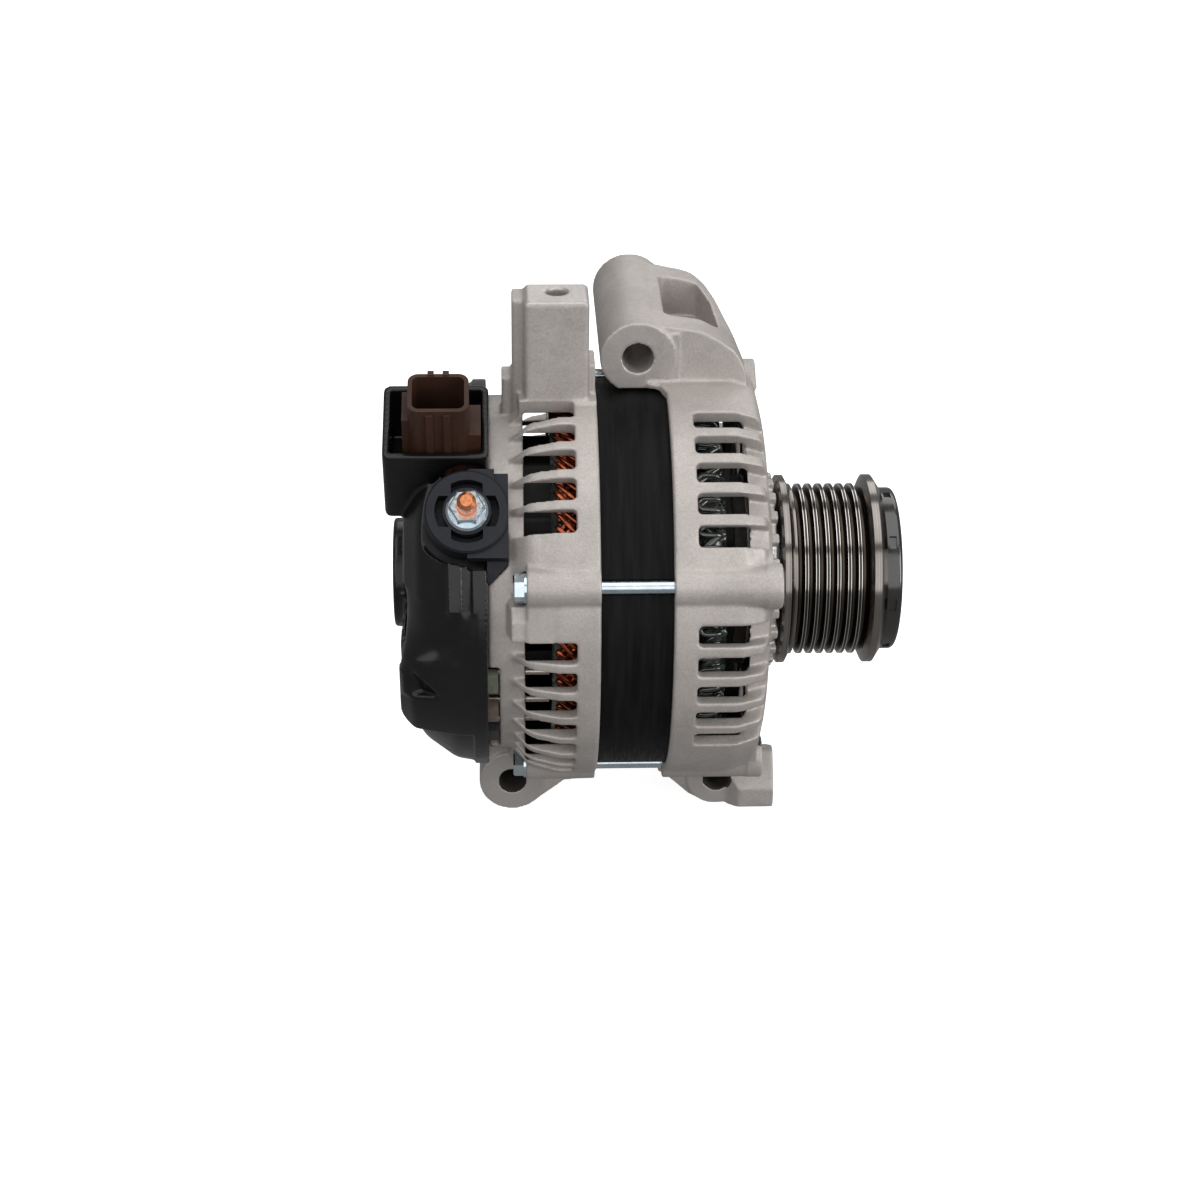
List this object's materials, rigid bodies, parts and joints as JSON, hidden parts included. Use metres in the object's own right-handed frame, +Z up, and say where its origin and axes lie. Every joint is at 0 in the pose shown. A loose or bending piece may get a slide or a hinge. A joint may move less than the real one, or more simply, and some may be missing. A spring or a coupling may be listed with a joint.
{
  "type": "car alternator",
  "caption": "Vehicle alternator: cast brackets round a claw-pole rotor, overrunning ribbed pulley, black rear cover with plug socket and output stud.",
  "frame": {"origin": "on the shaft axis, in the middle of the belt grooves of the pulley", "axes": "+X along the shaft out of the pulley end, +Z up towards the upper mounting boss, +Y away from the side with the output stud"},
  "size_m": [0.1704, 0.137, 0.1909],
  "materials": {
    "cast_aluminium": "sand cast, shot blasted",
    "black_lacquered_steel": "satin black lacquer on laminations",
    "enamelled_copper": "varnished copper conductors",
    "insulation_paper": "insulating paper",
    "tinned_copper": "tinned",
    "zinc_plated_steel": "pale blue zinc plate",
    "bearing_steel": "ground and polished",
    "seal_rubber": "matte",
    "cage_polymer": "moulded",
    "pressed_steel": "pressed sheet",
    "fan_steel": "pressed sheet, black dip coat",
    "machined_steel": "turned",
    "pole_steel": "forged, varnished",
    "bobbin_plastic": "moulded",
    "slip_ring_copper": "turned copper",
    "pulley_steel": "turned steel, dark phosphate",
    "cap_plastic": "moulded black",
    "cover_plastic": "moulded black, semi gloss",
    "output_copper": "copper plated",
    "insulator_plastic": "moulded blue black",
    "connector_plastic": "moulded brown",
    "tinned_pins": "tinned",
    "sink_aluminium": "die cast",
    "diode_metal": "nickel plated",
    "board_plastic": "moulded",
    "regulator_plastic": "moulded",
    "brush_carbon": "pressed carbon",
    "spring_steel": "wound wire"
  },
  "bodies": {
    "housing": {"bearing_retainer_plate": "pressed_steel", "brush_cover": "regulator_plastic", "brush_holder": "regulator_plastic", "connector_pins": "tinned_pins", "connector_shell": "connector_plastic", "cover_nuts": "zinc_plated_steel", "cover_studs": "zinc_plated_steel", "drive_end_bracket": "cast_aluminium", "front_bearing_outer_ring": "bearing_steel", "front_bearing_seals": "seal_rubber", "inner_brush_spring": "spring_steel", "negative_diodes": "diode_metal", "negative_heatsink": "sink_aluminium", "outer_brush_spring": "spring_steel", "output_insulator": "insulator_plastic", "output_nut": "zinc_plated_steel", "output_stud": "output_copper", "positive_diodes": "diode_metal", "positive_heatsink": "sink_aluminium", "rear_bearing_outer_ring": "bearing_steel", "rear_bearing_seals": "seal_rubber", "rear_cover": "cover_plastic", "rectifier_screws": "zinc_plated_steel", "rectifier_terminal_board": "board_plastic", "regulator_body": "regulator_plastic", "regulator_heatsink": "sink_aluminium", "regulator_screws": "zinc_plated_steel", "retainer_screws": "zinc_plated_steel", "slip_ring_end_bracket": "cast_aluminium", "slot_liners": "insulation_paper", "stator_core": "black_lacquered_steel", "stator_leads": "tinned_copper", "stator_winding": "enamelled_copper", "through_bolts": "zinc_plated_steel"},
    "rotor": {"rotor_shaft": "machined_steel", "front_pole_core": "pole_steel", "rear_pole_core": "pole_steel", "field_bobbin": "bobbin_plastic", "field_winding": "enamelled_copper", "front_fan": "fan_steel", "rear_fan": "fan_steel", "slip_ring_hub": "bobbin_plastic", "slip_rings": "slip_ring_copper", "field_leads": "tinned_copper", "front_spacer": "machined_steel", "front_bearing_inner_ring": "bearing_steel", "rear_bearing_inner_ring": "bearing_steel", "pulley_hub": "machined_steel", "clutch_cage": "cage_polymer", "clutch_rollers": "bearing_steel"},
    "pulley": {"pulley_shell": "pulley_steel", "pulley_cap": "cap_plastic"},
    "front_ball_set": {"front_bearing_balls": "bearing_steel", "front_bearing_cage": "cage_polymer"},
    "rear_ball_set": {"rear_bearing_balls": "bearing_steel", "rear_bearing_cage": "cage_polymer"},
    "inner_brush_body": {"inner_brush": "brush_carbon"},
    "outer_brush_body": {"outer_brush": "brush_carbon"}
  },
  "joints": [
    {"name": "rotor_spin", "type": "hinge", "parent": "housing", "child": "rotor", "pos_m": [0, 0, 0], "axis": [1, 0, 0], "continuous": true},
    {"name": "pulley_overrun", "type": "hinge", "parent": "rotor", "child": "pulley", "pos_m": [0, 0, 0], "axis": [1, 0, 0], "continuous": true},
    {"name": "front_balls_spin", "type": "hinge", "parent": "housing", "child": "front_ball_set", "pos_m": [-0.0264, 0, 0], "axis": [1, 0, 0], "continuous": true},
    {"name": "rear_balls_spin", "type": "hinge", "parent": "housing", "child": "rear_ball_set", "pos_m": [-0.1076, 0, 0], "axis": [1, 0, 0], "continuous": true},
    {"name": "inner_brush_slide", "type": "slide", "parent": "housing", "child": "inner_brush_body", "axis": [0, 0, 1], "range_m": [0, 0.005], "stiffness_N_per_m": 150, "springref_m": -0.015, "deforming": ["inner_brush_spring"]},
    {"name": "outer_brush_slide", "type": "slide", "parent": "housing", "child": "outer_brush_body", "axis": [0, 0, 1], "range_m": [0, 0.005], "stiffness_N_per_m": 150, "springref_m": -0.015, "deforming": ["outer_brush_spring"]}
  ],
  "couplings": [
    {"joint": "front_balls_spin", "follows": "rotor_spin", "ratio": 0.36875},
    {"joint": "rear_balls_spin", "follows": "rotor_spin", "ratio": 0.38}
  ]
}
